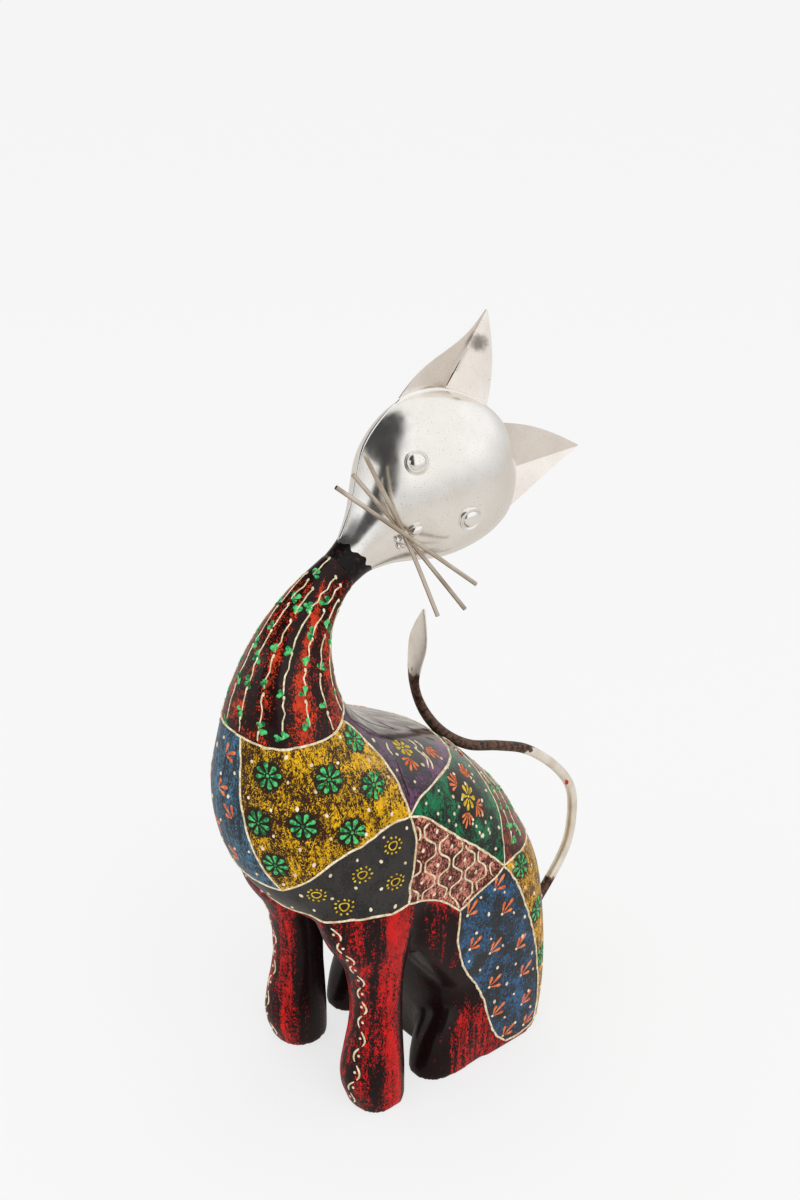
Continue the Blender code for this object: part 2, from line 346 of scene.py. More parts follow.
def fine_body():
    """The carved block again at a finer grain, its facets faired away and its soles still flat."""
    copied = in_scene("coarse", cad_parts["body"].data.copy())
    finer = copied.modifiers.new("finer", "REMESH")
    finer.mode = "VOXEL"
    finer.voxel_size = FINE
    graph = bpy.context.evaluated_depsgraph_get()
    graph.update()
    mesh = bpy.data.meshes.new_from_object(copied.evaluated_get(graph))
    bpy.data.objects.remove(copied)

    spots = gathered(mesh.vertices, "co", 3)
    pairs = gathered(mesh.edges, "vertices", 2, int)
    count = len(spots)
    one, two = pairs.T
    near = np.bincount(one, minlength=count) + np.bincount(two, minlength=count)
    sole = spots[:, 2] < 0.25 * FINE
    for step in range(2 * FAIRING):
        share = UNDONE if step % 2 else FAIRED
        for axis in range(3):
            total = (np.bincount(one, spots[two, axis], count)
                     + np.bincount(two, spots[one, axis], count))
            spots[:, axis] += share * (total / near - spots[:, axis])
        spots[sole, 2] = 0
    spots[:, 2] = np.maximum(spots[:, 2], 0)
    mesh.vertices.foreach_set("co", spots.ravel())
    mesh.update()
    mesh.shade_smooth()
    return mesh, spots, pairs


# Borders of the painted patches on the cat's left. J, K, H, M, L and E are where they meet.
J = (47, -7, 161)
K = (46, -6, 114)
H = (46, 23, 97)
M = (45, 51, 108)
L = (45, 55, 4)
E = (44, 76, 4)
BIB = (20, -56, 130)
NECK_RING = [(0, -62, 201), (18, -57, 200), (26, -47, 201), (29, -35, 202), (26, -26, 204),
             (17, -17, 207), (0, -12, 210)]
LINES = {
    "shoulder": [(24, -24, 204), (25, -17, 197), (31, -11, 187), (38, -9, 179), (44, -8, 170), J],
    "breast": [J, (46, -18, 161), (44, -30, 156), (40, -40, 151), (31, -50, 139), BIB],
    "elbow": [J, (48, -5, 150), (48, -6, 138), (47, -7, 126), K],
    "brisket": [K, (45, -13, 113), (43, -26, 115), (38, -36, 116), (29, -42, 114), (15, -48, 111),
                (0, -50, 110)],
    "back": [J, (45, 0, 166), (43, 8, 167), (38, 17, 167), (31, 29, 166), (22, 37, 165), (0, 43, 165)],
    "loin": [J, (47, 1, 157), (48, 10, 149), (47, 23, 136), (46, 33, 127), (45, 43, 117), M],
    "hip": [(0, 52, 158), (16, 50, 157), (24, 52, 149), (31, 54, 141), (37, 55, 131), (42, 53, 121), M],
    "rump": [M, (44, 58, 109), (41, 66, 108), (33, 78, 107), (18, 86, 106), (0, 89, 105)],
    "stifle": [M, (46, 45, 105), (46, 36, 102), (46, 29, 99), H],
    "belly": [K, (45, 1, 113), (46, 7, 110), (46, 15, 105), H],
    "thigh": [H, (47, 22, 90), (47, 21, 82), (46, 24, 69), (46, 29, 58), (46, 36, 46), (46, 40, 36),
              (46, 43, 24), (46, 48, 12), L],
    "croup": [M, (46, 58, 97), (47, 63, 84), (46, 68, 70), (46, 73, 52), (45, 76, 32), (44, 77, 16), E],
    "hock": [L, (45, 62, 3), (45, 70, 3), E],
    "heel": [E, (38, 86, 4), (20, 92, 4), (0, 93, 4)],
}
SINGLE_LINES = {  # those that are on one side only, or cross from side to side
    "neck": NECK_RING + mirrored(NECK_RING[-2::-1]),
    "chest": [(3, -62, 201), (4, -63, 190), (6, -65, 176), (10, -65, 160), (14, -62, 145), BIB],
    "bib": [BIB, (8, -60, 129), (-8, -60, 129), (-20, -56, 130)],
}

CREAM = (246, 234, 204)
# Each patch: where it is poured, its paint, the coat under it, how much of it shows (0 to 1) and
# how far the rubbing runs in upright streaks (0 to 1).
PATCHES = {
    "legs": (None, (214, 22, 20), (24, 9, 9), 0.30, 1.0),
    "neck": ((15, -45, 225), (220, 60, 18), (28, 10, 8), 0.36, 0.35),
    "shoulder": ((36, -38, 175), (246, 188, 8), (54, 30, 12), 0.46, 0.5),
    "chest": ((-10, -64, 170), (72, 128, 160), (36, 40, 46), 0.46, 0.7),
    "black": ((44, -25, 135), (58, 55, 53), (40, 39, 37), 0.6, 0.2),
    "purple": ((30, 0, 182), (116, 66, 108), (38, 31, 36), 0.42, 0.1),
    "green": ((40, 30, 150), (12, 128, 80), (26, 30, 27), 0.44, 0.1),
    "rump": ((30, 66, 130), (170, 66, 52), (42, 28, 26), 0.42, 0.5),
    "salmon": ((46, 15, 130), (242, 156, 134), (72, 26, 18), 0.40, 0.05),
    "haunch": ((47, 45, 60), (56, 106, 150), (46, 47, 48), 0.41, 0.2),
    "rear": ((30, 88, 60), (240, 180, 40), (80, 52, 32), 0.48, 0.35),
}
NECK_BANDS = ((67, 9, 0.32), (45, 9, -0.36), (28, 6, 0.16), (14, 5, -0.1), (84, 7, -0.12),
              (112, 12, 0.14))  # degrees round from the front, width, how much more shows
LEG_AXIS = (29.5, -13)  # middle of a front leg: how far out, and y
LEG_BANDS = ((0, 20, 0.36), (-36, 9, -0.12), (-62, 12, 0.08), (-84, 8, -0.16), (-122, 12, 0.2))
DISC = rgb(26, 24, 20)  # the dark disc a flower is painted on
# The grey of the top of the back and its paler streaks are a painted sheen of the lacquer; its brown
# streaks are rubbed paint.
TOP_SHEEN = rgb(112, 102, 98)  # the plain top of the back
TOP_EDGE = 21  # how far it reaches to each side
BROWNED = rgb(86, 58, 44)  # brown streaks in that grey, where the paint is rubbed
PALE_SHEEN = rgb(168, 158, 154)


class Painted:
    """The painted body: its surface, its borders and which patch each spot of it is in."""

    def __init__(self):
        self.mesh, self.spots, self.pairs = fine_body()
        self.points = [Vector(spot) for spot in self.spots]
        faces = [tuple(face.vertices) for face in self.mesh.polygons]
        self.tree = BVHTree.FromPolygons(self.points, faces)
        self.borders = [(name, self.lay(side)) for name, line in LINES.items()
                        for side in (line, mirrored(line))]
        self.borders += [(name, self.lay(line)) for name, line in SINGLE_LINES.items()]
        self.pour()

    def snap(self, point):
        """The nearest spot of the surface, and the way out of it."""
        spot, normal, _, _ = self.tree.find_nearest(point)
        return spot, normal

    def lay(self, line, gap=0.8):
        """A line of table points laid on the surface."""
        path = smooth_between(placed(line), 8)
        path = [self.snap(point)[0] for point in evenly(path, gap * MM)]
        return evenly(path, gap * MM)

    def pour(self):
        """Fills each patch up to its borders, from its seed and then on the other side, if that
        place is still free."""
        self.border_tree = tree_of([point for _, path in self.borders for point in path])
        self.spot_tree = tree_of(self.points)
        self.clear = np.array([self.border_tree.find(point)[2] for point in self.points]) / MM
        near = [[] for _ in self.points]
        for one, two in self.pairs.tolist():
            near[one].append(two)
            near[two].append(one)
        self.names = list(PATCHES)
        label = np.full(len(self.points), -1)
        open_spots = self.clear > BARRIER
        seeds = [(number, patch[0]) for number, patch in enumerate(PATCHES.values()) if patch[0]]
        for number, (x, y, z) in seeds + [(number, (-x, y, z)) for number, (x, y, z) in seeds]:
            waiting = [self.spot_tree.find(at(x, y, z))[1]]
            while waiting:
                here = waiting.pop()
                if label[here] < 0:
                    label[here] = number
                    waiting += [there for there in near[here] if open_spots[there]]
        label[(label < 0) & open_spots] = 0
        here, there = np.concatenate([self.pairs, self.pairs[:, ::-1]]).T
        while (label < 0).any():
            before = label.copy()
            take = (before[here] < 0) & (before[there] >= 0)
            label[here[take]] = before[there[take]]
            if (label == before).all():
                break
        self.label = label

    def patch_at(self, point):
        """The name of the patch at a point, and how far it is from a border, in mm."""
        index = self.spot_tree.find(point)[1]
        return self.names[self.label[index]], self.border_tree.find(point)[2] / MM


def hill(value, middle, width):
    """1 at MIDDLE and falling to nothing on both sides."""
    return np.exp(-((value - middle) / width) ** 2)


def grow(value, start, full):
    """0 up to START and 1 from FULL on, with a straight rise between them."""
    return np.clip((value - start) / (full - start), 0, 1)


def bands(turn, table):
    """How much more shows TURN degrees round, by a table of bands."""
    return sum(depth * hill(turn, middle, width) for middle, width, depth in table)


def neck_cover(x, y, z):
    """Upright bands round the neck, all dark under the collar."""
    turn = np.degrees(np.arctan2(x, -(y + 34 - 0.5 * np.maximum(z - 225, 0))))
    return 0.33 + bands(np.abs(turn), NECK_BANDS) - 0.3 * grow(z, 257, 260)


def leg_cover(x, y, z, facing, clear):
    """Red streaks down the fronts and outsides of the legs; the hollows between them stay dark."""
    out = np.abs(x)
    around = np.degrees(np.arctan2(y - LEG_AXIS[1], out - LEG_AXIS[0]))  # 0 is straight outwards
    behind = 0.4 * grow(around, 28, 42) * (around < 142)
    inner = 0.34 * grow(np.abs(around), 142, 152)
    fore = 0.36 + bands(around, LEG_BANDS) - inner - behind
    side = grow(out, 38, 43) * grow(np.abs(facing), 0.6, 0.9)
    foot = 0.44 * side * grow(z, 46, 30) * grow(y, 15, 25)
    thigh = 0.2 * side * grow(z, 58, 70)
    rim = 0.3 * grow(clear, 4, 1) * (z > 96)
    return np.where(y > 3.5, 0.02 + foot + thigh + rim, fore)


def colour_body(body, shaded):
    """Writes each vertex's paint and coat, with how much shows and how streaky it is.

    SHADED lists (spot, reach in mm): round these the dark coat is left bare for a flower."""
    rows = [(rgb(*paint), rgb(*ground), *rest) for _, paint, ground, *rest in PATCHES.values()]
    paint, ground, cover, streak = [np.array(column)[body.label] for column in zip(*rows)]
    x, y, z = body.spots.T / MM
    y = y + SETBACK
    facing = gathered(body.mesh.vertex_normals, "vector", 3)[:, 0]

    def at_patch(name):
        return body.label == body.names.index(name)

    cover = np.where(at_patch("neck"), neck_cover(x, y, z), cover)
    cover = np.where(at_patch("legs"), leg_cover(x, y, z, facing, body.clear), cover)
    cover = cover + 0.09 * at_patch("shoulder") * np.clip((y + 42) / 22, -1, 1)
    # On the top of the back less purple shows and the coat turns grey, with pale and brown streaks: a
    # painted sheen of the lacquer, and rubbed paint in the brown streaks.
    top = grow(np.abs(x), TOP_EDGE, TOP_EDGE - 8) * at_patch("purple")
    cover = cover - 0.5 * top
    ground += top[:, None] * 0.7 * (np.array(TOP_SHEEN) - ground)
    for index in np.flatnonzero(top > 0):
        streak_noise = noise.noise(Vector((x[index] / 2.6, y[index] / 14, z[index] / 6)))
        tone = BROWNED if streak_noise > 0 else PALE_SHEEN
        ground[index] += top[index] * min(0.9, 2.2 * abs(streak_noise)) * (np.array(tone) - ground[index])
    bare = np.zeros(len(x))
    for spot, reach in shaded:
        far = np.linalg.norm(body.spots - np.array(spot), axis=1) / MM
        bare = np.maximum(bare, grow(far, reach, reach - 2))
    paint[:, 3] = np.clip(cover - 0.35 * bare, 0, 1)
    ground += bare[:, None] * 0.8 * (np.array(DISC) - ground)
    ground[:, 3] = streak
    for name, data in (("paint", paint), ("ground", ground)):
        layer = body.mesh.attributes.new(name, "FLOAT_COLOR", "POINT")
        layer.data.foreach_set("color", data.astype(np.float32).ravel())


ARCH = [radians(turn) for turn in (0, 45, 90, 135, 180)]  # the section of a stroke
EIGHTHS = [2 * pi * step / 8 for step in range(8)]
# How far along a petal, and how full it is there.
PETAL = ((0, 0.25), (0.25, 0.45), (0.5, 0.75), (0.7, 1), (0.85, 0.95), (0.95, 0.65), (1, 0.25))


class Relief:
    """Strokes and dots of one paint that stand a little proud of the body, as one mesh."""

    def __init__(self, body, name, surface):
        self.body = body
        self.snap = body.snap
        self.name = name
        self.surface = surface
        self.bm = bmesh.new()

    def stroke(self, path, widths, height, sink=0.1):
        """A stroke along PATH, which lies on the body. Widths and heights are in mm."""
        rings = []
        for index, point in enumerate(path):
            out = self.snap(point)[1]
            side = heading(path, index).cross(out)
            if side.length < 1e-9:
                continue
            side.normalize()
            wide = widths[index]
            high = height * min(1, wide / max(widths) + 0.25) * MM
            rings.append([point + side * (wide * MM) * cos(turn)
                          + out * (high * sin(turn) - sink * MM) for turn in ARCH])
        if len(rings) > 1:
            skin(self.bm, rings)

    def bead(self, path, width=0.57, height=0.5, wobble=0.28):
        """A line squeezed from a cone: round, with a slightly unsteady course and width."""
        swing = [vary(-1, 1) for _ in range(len(path) // 4 + 3)]
        drawn = []
        widths = []
        for index, point in enumerate(path):
            spot, out = self.snap(point)
            side = heading(path, index).cross(out).normalized()
            cell, share = divmod(index / 4, 1)
            sway = swing[int(cell)] * (1 - share) + swing[int(cell) + 1] * share
            drawn.append(self.snap(spot + side * sway * wobble * MM)[0])
            end = min(index, len(path) - 1 - index)
            widths.append(width * (1 + 0.22 * sway) * min(1, 0.55 + 0.25 * end))
        self.stroke(drawn, widths, height)

    def dot(self, centre, radius=0.8, height=0.5, long=1.0, turn=0.0):
        """A dab: a low dome, round or drawn out to LONG times its width."""
        spot, out = self.snap(centre)
        along, side = axes_on(out, turn)
        rings = []
        for share, lift in ((1.0, -0.12), (0.86, 0.45 * height), (0.5, 0.88 * height)):
            rings.append([spot + (side * cos(angle) + along * long * sin(angle))
                          * radius * share * MM + out * lift * MM for angle in EIGHTHS])
        rings = skin(self.bm, rings, False)
        top = self.bm.verts.new(spot + out * height * MM)
        for one, two in zip(rings[-1], rings[-1][1:] + rings[-1][:1]):
            self.bm.faces.new((one, two, top))
        self.bm.faces.new(rings[0][::-1])

    def petal(self, centre, turn, start, length, width, height=0.25):
        """A tear-shaped brush stroke, narrow near CENTRE and full and round at its far end."""
        spot, out = self.snap(centre)
        along, _ = axes_on(out, turn)
        path = []
        widths = []
        for share, full in PETAL:
            reach = start + length * share
            path.append(self.snap(spot + along * reach * MM)[0])
            widths.append(width * full)
        self.stroke(path, widths, height, 0.06)

    def finish(self):
        bmesh.ops.recalc_face_normals(self.bm, faces=self.bm.faces)
        from_bmesh(self.name, self.bm, self.surface, 75)


def axes_on(out, turn):
    """Two directions along a surface: one turned TURN degrees from uphill, and one square to it."""
    uphill = UP - out * UP.dot(out)
    if uphill.length < 0.05:
        uphill = Vector((0, -1, 0)) - out * -out.y
    uphill.normalize()
    along = turned(uphill, uphill.cross(out), turn)
    return along, along.cross(out)


# --- motifs

NECK_AXIS = ((-36, 196, 4), (-36, 207, 8), (-34, 227, 20), (-24, 244, 40), (-13, 253.5, 52),
             (-5, 258.5, 58))  # y, z and how far it leans back there


def neck_spot(body, turn, share):
    """A spot of the neck, TURN degrees round from its front and SHARE of the way up it."""
    rows = smooth_between(NECK_AXIS, 6)
    place = share * (len(rows) - 1)
    index = min(int(place), len(rows) - 2)
    y, z, lean = rows[index].lerp(rows[index + 1], place - index)
    out = turned(turned(-BACKWARD, UP, lean), ACROSS, turn)
    centre = at(0, y, z)
    hit, _, _, _ = body.tree.ray_cast(centre + out * 60 * MM, -out)
    return hit or body.snap(centre + out * 20 * MM)[0]


def leaf_cluster(relief, spot, turn):
    """Three or four thick dabs from one spot."""
    for side in (-70, -20, 38, 84)[:dice.choice((2, 3, 4))]:
        relief.petal(spot, turn + side + vary(-14, 14), 0, vary(2.6, 4.2), vary(0.9, 1.25), 0.35)


def vine(lines, leaves, spots, leaf_gap, first):
    """A thin crooked line in lengths of LEAF_GAP, each ending in a blob and a few leaves."""
    path = evenly([lines.snap(spot)[0] for spot in spots], 0.8 * MM)
    step = int(leaf_gap / 0.8)
    for start in range(int(first / 0.8), len(path) - 4, step):
        part = path[start:start + step - dice.randrange(1, 4)]
        if len(part) < 5:
            continue
        lines.bead(part, 0.35, 0.36, 0.7)
        lines.dot(part[0], 0.6, 0.42, 1.7)
        if lines.body.patch_at(part[-1])[1] > 3:
            leaf_cluster(leaves, part[-1], dice.choice((-40, 20, 60, -120)))


def daisy(relief, centre, size=5.9, width=1.14):
    begin = vary(0, 360)
    for turn in range(0, 360, 45):
        relief.petal(centre, begin + turn + vary(-4, 4), 1.4, size - 1.4 + vary(-0.4, 0.3), width)
    relief.dot(centre, 0.8, 0.3)


def ring_flower(relief, centre, radius=2.0, reach=4.0, dots=11):
    """A small uneven ring with dots round it."""
    spot, out = relief.snap(centre)
    along, side = axes_on(out, vary(0, 40))

    def around(angle, far):
        return spot + (along * cos(angle) + side * sin(angle)) * far * MM

    path = []
    for step in range(19):
        angle = 2 * pi * step / 18
        path.append(relief.snap(around(angle, radius * (1 + 0.07 * sin(3 * angle))))[0])
    relief.stroke(path, [0.36] * len(path), 0.32)
    for index in range(dots):
        angle = 2 * pi * (index + vary(-0.15, 0.15)) / dots
        point = around(angle, reach + vary(-0.3, 0.3))
        relief.dot(point, 0.52, 0.35, 1.35, degrees(angle))


def fan(relief, centre, run, size=7.6, width=0.74):
    """Five brush strokes from a root at CENTRE, spread like a hand round the direction RUN."""
    uphill, side = axes_on(relief.snap(centre)[1], 0)
    turn = degrees(atan2(run.dot(side), run.dot(uphill)))
    for step in (-2, -1, 0, 1, 2):
        relief.petal(centre, turn + step * 28, 0.7, size - 0.7 - 1.1 * abs(step), width)


def sprig(relief, centre, turn):
    """Three strokes that rise from one root to the same side."""
    for angle, length in ((turn - 40, 5.2), (turn, 8.0), (turn + 40, 5.8)):
        relief.petal(centre, angle + vary(-7, 7), 1.0, length + vary(-0.5, 0.3), 0.98)


def scatter(body, patch, gap, clear, busy):
    """Spots of a patch that keep GAP mm from each other, CLEAR of its border and off BUSY ones."""
    pool = np.flatnonzero((body.label == body.names.index(patch)) & (body.clear > clear)
                          & (body.spots[:, 2] > 6 * MM)).tolist()
    dice.shuffle(pool)
    taken = [(spot, room * MM) for spot, room in busy]
    found = []
    for spot in (body.points[index] for index in pool):
        if all((spot - other).length > room for other, room in taken):
            taken.append((spot, gap * MM))
            found.append(spot)
    return found


FLOWERS = {  # how far the dark disc under each kind reaches, and where they are on the cat's left
    "daisies": (7.6, ((18, -59, 188), (35, -40, 187), (40, -21, 179), (28, -21, 196),
                      (16, -63, 166), (32, -52, 168), (43, -35, 163), (22, -60, 146))),
    "rings": (2.6, ((48, -17, 151), (45, -31, 140), (47, -15, 131), (33, -47, 130), (38, -36, 123))),
    "sprigs": (0, ((46, 44, 99), (47, 27, 93), (48, 48, 84), (48, 28, 74), (48, 41, 65), (48, 58, 59),
                   (47, 42, 44), (47, 62, 41), (47, 45, 25), (47, 64, 22), (46, 53, 8), (45, 67, 7))),
    "blooms": (7.6, ((40, 32, 151), (25, 7, 179))),
    "fans": (8.5, ((38, 26, 158), (35, 37, 157), (42, 37, 146), (43, 29, 146))),
    "top_fans": (8, ((31, 6, 177), (24, 21, 173))),
    "rear_daisies": (7.4, ((44, 63, 102), (43, 74, 72), (41, 79, 42), (24, 88, 88), (26, 91, 55),
                           (20, 93, 22), (0, 92, 68), (0, 94, 36), (12, 90, 102))),
}
TOP_FAN_TIPS = [(40, -1, 173), (29, 25, 168)]
DOT_ROWS = (
    ((33, 25, 165), (36, 28, 161), (39, 30, 157)), ((46, 15, 149), (44, 22, 151), (41, 27, 153)),
    ((37, 33, 156), (34, 38, 154), (30, 43, 153)), ((43, 31, 141), (44, 33, 137), (45, 36, 131)),
    ((40, 38, 143), (42, 40, 137), (44, 43, 129)))
RUMP_VINES = (
    ((22, 56, 148), (29, 59, 138), (35, 60, 128), (40, 60, 114)),
    ((17, 61, 145), (25, 65, 134), (32, 67, 124), (36, 68, 112)),
    ((9, 64, 145), (17, 70, 134), (23, 75, 123), (27, 79, 110)),
    ((1, 64, 147), (7, 72, 135), (10, 79, 122), (11, 85, 110)))
CRACKS = (
    ((32, -3, 180), (36, -4, 178), (40, -5, 175), (43, -5, 171), (45, -6, 166)),
    ((4, 11, 181), (7, 13, 180), (11, 15, 178)), ((18, 2, 184), (20, 5, 181), (22, 9, 179)),
    ((5, 25, 174), (8, 27, 173), (12, 28, 172)), ((15, 29, 171), (16, 33, 168)),
    ((22, -20, 203), (18, -8, 193), (20, 1, 186), (22, 14, 180)),
    ((9, -14, 208), (9, 2, 190), (11, 18, 178)), ((45, 74, 60), (45, 75, 43), (45, 75, 18)))
RED_DABS = ((15, 42, 161), (17, 45, 159), (19, 46, 157), (13, 40, 163))
WAVE = 17.5  # mm from crest to crest of the wavy lines
WAVE_SWAY = 3.5  # how far they swing to each side
WAVE_GAP = 8.4  # from one line to the next
WAVE_START, WAVE_TOP = 3, 180  # y of the first one, and z of their upper ends
COMMAS = (
    ((19, 16, 177), (22, 17, 176), (25, 15, 175)), ((19, 19, 175), (22, 20, 174), (25, 19, 173)),
    ((25, 14, 176), (30, 16, 173), (35, 13, 171)), ((27, 17, 174), (32, 17, 171), (35, 15, 169)),
    ((24, -1, 184), (27, -3, 183), (30, -3, 181)))
LEG_SCROLL = [(34, -40, 112), (37, -36, 98), (36, -29, 76), (34, -26, 58), (34, -27, 40),
              (34, -29, 20), (31, -29, 10), (30, -28, 3)]
DOTTED = {"shoulder": 9.5, "black": 11, "purple": 9, "green": 9, "haunch": 10, "chest": 10,
          "rear": 10}  # how far apart the scattered dots of a patch are
PAINTS = {  # piece: material, bright and dull colour, features to the metre
    "cream_lines": ("cream_line", CREAM, (206, 184, 140), 500),
    "cream_dots": ("cream_dot", CREAM, (214, 190, 160), 300),
    "green_leaves": ("leaf_green", (84, 204, 118), (8, 96, 48), 420),
    "yellow_flowers": ("flower_yellow", (236, 206, 48), (188, 146, 24), 420),
    "orange_sprigs": ("sprig_orange", (240, 138, 76), (206, 84, 38), 420),
    "red_dabs": ("dab_red", (206, 30, 22), (150, 18, 14), 420),
    "cracks": ("crack_black", (14, 11, 10), (24, 18, 16), 500),
}


def plan_flowers(body):
    """Where each kind of flower goes, as points of the surface; the flanks carry the same ones."""
    plan = {}
    for name, (_, spots) in FLOWERS.items():
        far_side = [spot for spot in mirrored(spots) if spot[0] and name != "daisies"]
        plan[name] = placed(spots) + placed(far_side)
    plan["chest_sprigs"] = scatter(body, "chest", 14, 5, [])
    return plan


def shaded_spots(plan):
    """The dark discs the flowers are painted on: (spot, reach in mm)."""
    return [(spot, reach) for name, (reach, _) in FLOWERS.items() if reach for spot in plan[name]]


def rows_of_lines(cream, dots, body):
    """Wavy upright lines that swing apart and together over the salmon patch, a dot in each eye."""
    def spot_at(side, column, sway, drop):
        back = WAVE_GAP * column + sway
        return body.snap(at(side * 50, WAVE_START + back, WAVE_TOP - drop - 0.32 * back))[0]

    def inside(spot, clear):
        patch, room = body.patch_at(spot)
        return patch == "salmon" and room > clear

    for side in (1, -1):
        for column in range(-4, 9):
            run = []
            for step in range(110):
                phase = 2 * pi * step / WAVE + pi * column
                sway = WAVE_SWAY * (sin(phase) + 0.16 * sin(3 * phase))
                spot = spot_at(side, column, sway, step)
                if inside(spot, 0.7):
                    run.append(spot)
                    continue
                if len(run) > 3:
                    cream.bead(evenly(run, 0.8 * MM), 0.48, 0.42, 0.16)
                run = []
            for eye in range(14):
                drop = (eye + 0.75 - 0.5 * (column % 2)) * WAVE
                spot = spot_at(side, column + 0.5, 0, drop)
                if inside(spot, 1.5):
                    dots.dot(spot, 0.82, 0.5, 1.4, vary(10, 50) * side)


def commas(cream, body):
    """Long curved cream strokes beside the flowers of the purple patch."""
    for line in [*COMMAS, *map(mirrored, COMMAS)]:
        path = body.lay(line)
        last = len(path) - 1
        widths = [0.2 + 0.34 * sin(pi * (0.12 + 0.8 * index / last)) for index in range(len(path))]
        cream.stroke(path, widths, 0.38)


def leg_scroll(cream, dots, body):
    """A wavy cream line with dots beside it, down the outer corner of each front leg."""
    for line in (LEG_SCROLL, mirrored(LEG_SCROLL)):
        line = body.lay(line)
        wave = []
        for index, point in enumerate(line):
            spot, out = body.snap(point)
            across = axes_on(out, 90)[0]
            wave.append(body.snap(spot + across * 2.3 * sin(2 * pi * index / 22) * MM)[0])
        for start in range(0, len(wave) - 8, 11):
            part = wave[start:start + 10]
            cream.bead(part, 0.5, 0.42, 0.05)
            dots.dot(part[2].lerp(line[min(start + 4, len(line) - 1)], 1.3), 0.75, 0.45)


def neck_vines(cream, green, body):
    """Vines that climb the neck all round it, to three heights by turns."""
    for index in range(15):
        turn = 4 + 24 * index
        top = (0.96, 0.78, 0.88)[index % 3]
        spots = [neck_spot(body, turn, top - (top - 0.04) * step / 19) for step in range(20)]
        spots = [spot for spot in spots if body.patch_at(spot)[0] == "neck"]
        vine(cream, green, spots, 13 + 3 * (index % 3), (index * 5) % 9)


def build_paint(body, plan):
    """All the drawn decoration of the body."""
    reliefs = [Relief(body, name, line_paint(*paint)) for name, paint in PAINTS.items()]
    cream, dots, green, yellow, orange, red, black = reliefs
    for name, path in body.borders:
        if name == "hip":
            cream.bead(path, 0.36, 0.4)
        else:
            cream.bead(path)
    neck_vines(cream, green, body)
    for spot in plan["daisies"] + plan["rear_daisies"]:
        daisy(green, spot)
    for spot in plan["rings"]:
        ring_flower(yellow, spot)
    for spot in plan["sprigs"]:
        sprig(orange, spot, 56 if spot.x > 0 else -56)
        dots.dot(spot, 0.8, 0.45)
    for spot in plan["chest_sprigs"]:
        sprig(orange, spot, dice.choice((-60, 60)))
    for spot in plan["blooms"]:
        on_top = body.patch_at(spot)[0] == "purple"
        daisy(yellow, spot, 5.2 if on_top else 6.2, 1.2)
    for spot in plan["fans"]:
        bloom = min(plan["blooms"], key=lambda place: (place - spot).length)
        fan(orange, spot, spot - bloom)
    for root, tip in zip(plan["top_fans"], placed(TOP_FAN_TIPS + mirrored(TOP_FAN_TIPS))):
        fan(orange, root, tip - root)
    for line in on_both_sides(RUMP_VINES):
        vine(cream, green, body.lay(line), 11, vary(0, 5))
    for row in on_both_sides(DOT_ROWS):
        for spot in body.lay(row, 4.4):
            if min((spot - flower).length for flower in plan["blooms"] + plan["fans"]) > 4.5 * MM:
                dots.dot(spot, 0.72, 0.45, 1.4, vary(-30, 30))
    commas(cream, body)
    rows_of_lines(cream, dots, body)
    busy = [(spot, 6.6) for spots in plan.values() for spot in spots]
    for patch, gap in DOTTED.items():
        for spot in scatter(body, patch, gap, 3, busy):
            if patch == "purple" and abs(spot.x) < TOP_EDGE * MM:
                continue
            dots.dot(spot, vary(0.62, 0.9), 0.45, vary(1.0, 1.6), vary(-40, 40))
    leg_scroll(cream, dots, body)
    for crack in CRACKS:
        path = body.lay(crack, 1.5)
        widths = [0.3 * sin(pi * (index + 0.5) / len(path)) + 0.1 for index in range(len(path))]
        black.stroke(path, widths, 0.2, 0.06)
    for spot in RED_DABS:
        red.dot(at(*spot), vary(0.8, 1.3), 0.4, 1.5, 60)
    for relief in reliefs:
        relief.finish()


# --- the metal parts

COLLAR = at(0, 1, 261)
COLLAR_FOOT = -8.8  # height along the skull where the paint of the joint starts
HEAD_LEAN, HEAD_TURN = 61, 20  # degrees
HEAD = ((-7, 8.2, 8.2, -1.0), (0, 9.1, 9, -1.3), (6, 11.4, 10.8, -1.6), (14, 15.8, 14.2, -1.8),
        (23, 22.7, 18.7, -2), (31, 28.6, 22.5, -1.9), (39, 32.2, 25, -1.6), (50, 34.7, 27, -1),
        (60, 34.7, 27, -0.4), (68, 32.4, 25, -0.1), (77, 26.5, 20.5, 0), (84, 18, 14.5, 0),
        (88.5, 9.5, 8, 0), (90.5, 1, 1, 0))  # height, half width, half depth, middle x
SEAM = (0.75, 0.55)  # half the width and depth of the ridge where its halves meet
EARS = {  # outer corner, fold, inner corner and tip: (x, height)
    "left": ((33, 58), (22, 79.5), (-0.5, 86.5), (38, 116)),
    "right": ((-36.5, 60), (-22, 79.5), (-3, 86), (-38, 117.5)),
}
EAR_FOLD = 6.5  # how far the crease lies behind the edges, at the root
EAR_BOW = 2.2  # how far the inner edge bows outwards
EAR_SWAY = {"left": 0.3, "right": 1.5}  # and the outer edge, out near the root and in near the tip
EAR_WELD = 1.2  # half the width of the ridge along the ear's root
EYES = {"left": (14.9, 43.9), "right": (-18.8, 40.4)}
NOSE = (2.5, 23)
BURNT_SPOT = (-29, 1, 105)  # in the head's own axes, on the ear
WHISKER_DEPTH = 17.7
WHISKER_STACK = 2.3
WHISKERS = {
    "level": ((-33.1, 16.6), (2.7, 18.6), (44.6, 19.6)),
    "falling": ((-36.2, 24.9), (1.7, 17.2), (36.7, 7.4)),
    "rising": ((-35.9, 6.1), (0.9, 17.4), (38.1, 28.6)),
}
WIRE = 0.95  # half the whiskers' thickness
